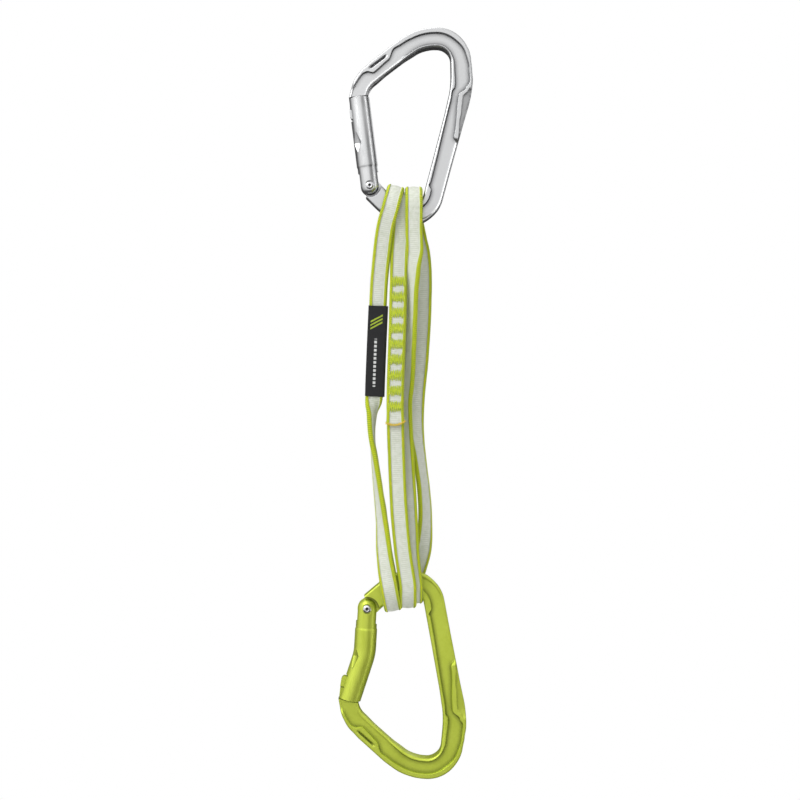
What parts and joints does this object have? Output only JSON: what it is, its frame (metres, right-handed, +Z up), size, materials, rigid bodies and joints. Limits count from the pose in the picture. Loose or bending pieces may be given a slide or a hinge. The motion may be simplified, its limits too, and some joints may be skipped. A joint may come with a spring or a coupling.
{
  "type": "climbing quickdraw",
  "caption": "Quickdraw for climbing: straight-gate and bent-gate keylock carabiners joined by a tripled, bar-tacked webbing sling.",
  "frame": {"origin": "hang point, on the inside of the upper carabiner's bow, midway through its thickness", "axes": "+Z up as it hangs, +X towards the carabiners' spines, +Y to the back"},
  "size_m": [0.0635, 0.025, 0.349],
  "materials": {
    "upper_body": "satin",
    "upper_gate_rod": "brushed satin",
    "lower_body": "satin anodised lime green",
    "lower_gate_rod": "satin anodised lime green",
    "steel": "bright",
    "webbing": "woven, with neon yellow-green edges",
    "tack_thread": "zigzag stitched thread",
    "label": "woven tape, black"
  },
  "bodies": {
    "upper_carabiner": {"upper_frame": "upper_body"},
    "upper_gate_arm": {"upper_gate": "upper_gate_rod", "upper_rivet": "steel", "upper_gate_spring": "steel"},
    "upper_plunger_pin": {"upper_plunger": "steel"},
    "sling": {"upper_bight_left": "webbing", "upper_bight_middle": "webbing", "upper_bight_right": "webbing", "lower_bight_left": "webbing", "lower_bight_middle": "webbing", "lower_bight_right": "webbing", "front_strand_left": "webbing", "splice_front_tail": "webbing", "splice_back_tail": "webbing", "front_strand_right": "webbing", "back_strand_left": "webbing", "back_strand_middle": "webbing", "back_strand_right": "webbing", "bar_tacks": "tack_thread", "label_sleeve": "label"},
    "lower_carabiner": {"lower_frame": "lower_body"},
    "lower_gate_arm": {"lower_gate": "lower_gate_rod", "lower_rivet": "steel", "lower_gate_spring": "steel"},
    "lower_plunger_pin": {"lower_plunger": "steel"}
  },
  "joints": [
    {"name": "upper_gate_hinge", "type": "hinge", "parent": "upper_carabiner", "child": "upper_gate_arm", "pos_m": [-0.0298, 0, -0.0641], "axis": [0, 1, 0], "range_deg": [0, 28], "stiffness_Nm_per_rad": 0.2, "springref_deg": -57.3},
    {"name": "upper_plunger_slide", "type": "slide", "parent": "upper_gate_arm", "child": "upper_plunger_pin", "axis": [-0.1236, 0, 0.9923], "range_m": [0, 0.0015], "deforming": ["upper_gate_spring"]},
    {"name": "sling_swing", "type": "hinge", "parent": "upper_carabiner", "child": "sling", "pos_m": [-0.012, 0, -0.0762], "axis": [1, 0, 0], "range_deg": [-40, 40]},
    {"name": "lower_carabiner_swing", "type": "hinge", "parent": "sling", "child": "lower_carabiner", "pos_m": [-0.012, 0, -0.2489], "axis": [1, 0, 0], "range_deg": [-40, 40]},
    {"name": "lower_gate_hinge", "type": "hinge", "parent": "lower_carabiner", "child": "lower_gate_arm", "pos_m": [-0.031, 0, -0.2601], "axis": [0, -1, 0], "range_deg": [0, 28], "stiffness_Nm_per_rad": 0.2, "springref_deg": -57.3},
    {"name": "lower_plunger_slide", "type": "slide", "parent": "lower_gate_arm", "child": "lower_plunger_pin", "axis": [-0.1994, 0, -0.9799], "range_m": [0, 0.0016], "deforming": ["lower_gate_spring"]}
  ],
  "couplings": [
    {"joint": "upper_plunger_slide", "follows": "upper_gate_hinge", "m_per_rad": 0.00277},
    {"joint": "lower_plunger_slide", "follows": "lower_gate_hinge", "m_per_rad": 0.0028946}
  ]
}
